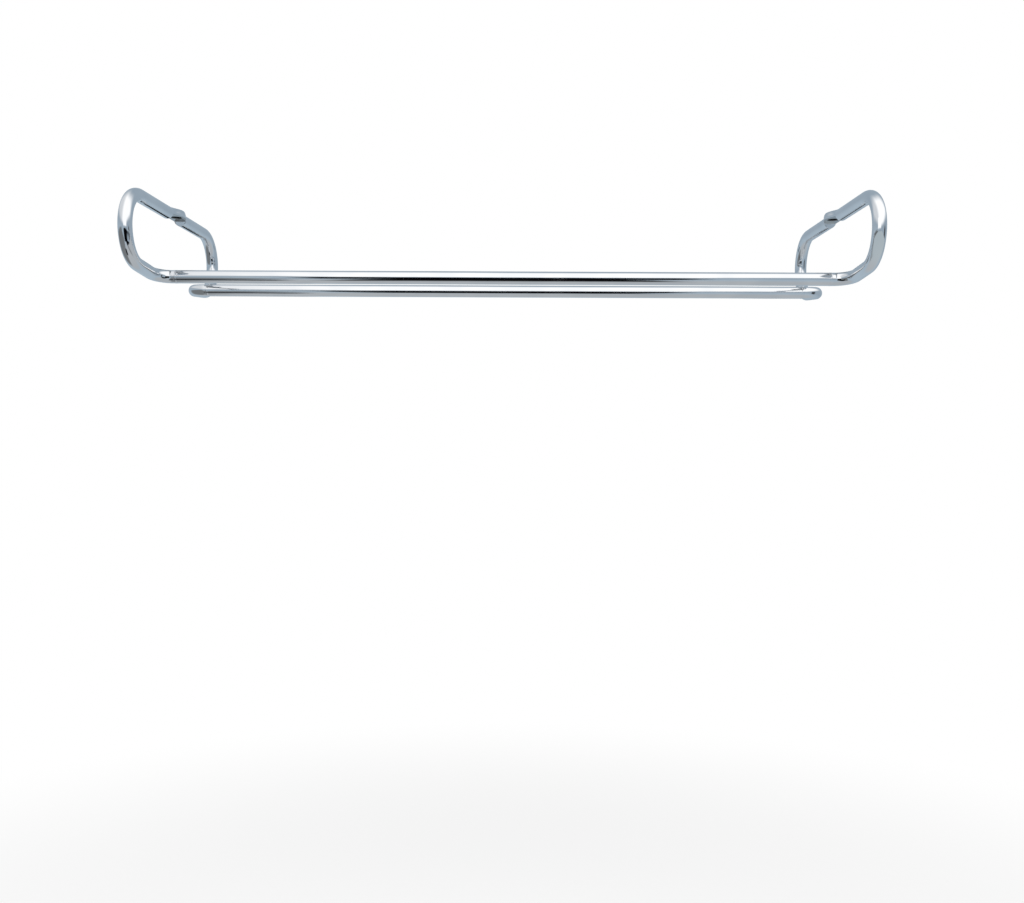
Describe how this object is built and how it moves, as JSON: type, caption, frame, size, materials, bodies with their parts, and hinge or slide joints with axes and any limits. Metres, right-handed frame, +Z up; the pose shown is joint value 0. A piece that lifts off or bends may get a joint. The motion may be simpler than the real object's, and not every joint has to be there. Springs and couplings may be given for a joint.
{
  "type": "hanging wine glass rack",
  "caption": "Chromed wire rack that screws under a shelf and holds stemmed glasses upside down by the foot, in a slot between parallel rails carried by wide end bows.",
  "frame": {"origin": "midway between the two screw holes, on the upper faces of the eyes", "axes": "+X along the rails, +Y from the front rail to the rear rail, +Z up towards the shelf"},
  "size_m": [0.27, 0.1, 0.0322],
  "materials": {
    "chrome_plate": "bright chrome plate on drawn steel wire",
    "plated_weld": "chrome plate over a lightly ground butt weld"
  },
  "bodies": {
    "root": {"front_rail": "chrome_plate", "rear_rail": "chrome_plate", "left_bow": "chrome_plate", "right_bow": "chrome_plate", "weld_front_left": "plated_weld", "weld_front_right": "plated_weld", "weld_rear_left": "plated_weld", "weld_rear_right": "plated_weld"}
  },
  "joints": []
}
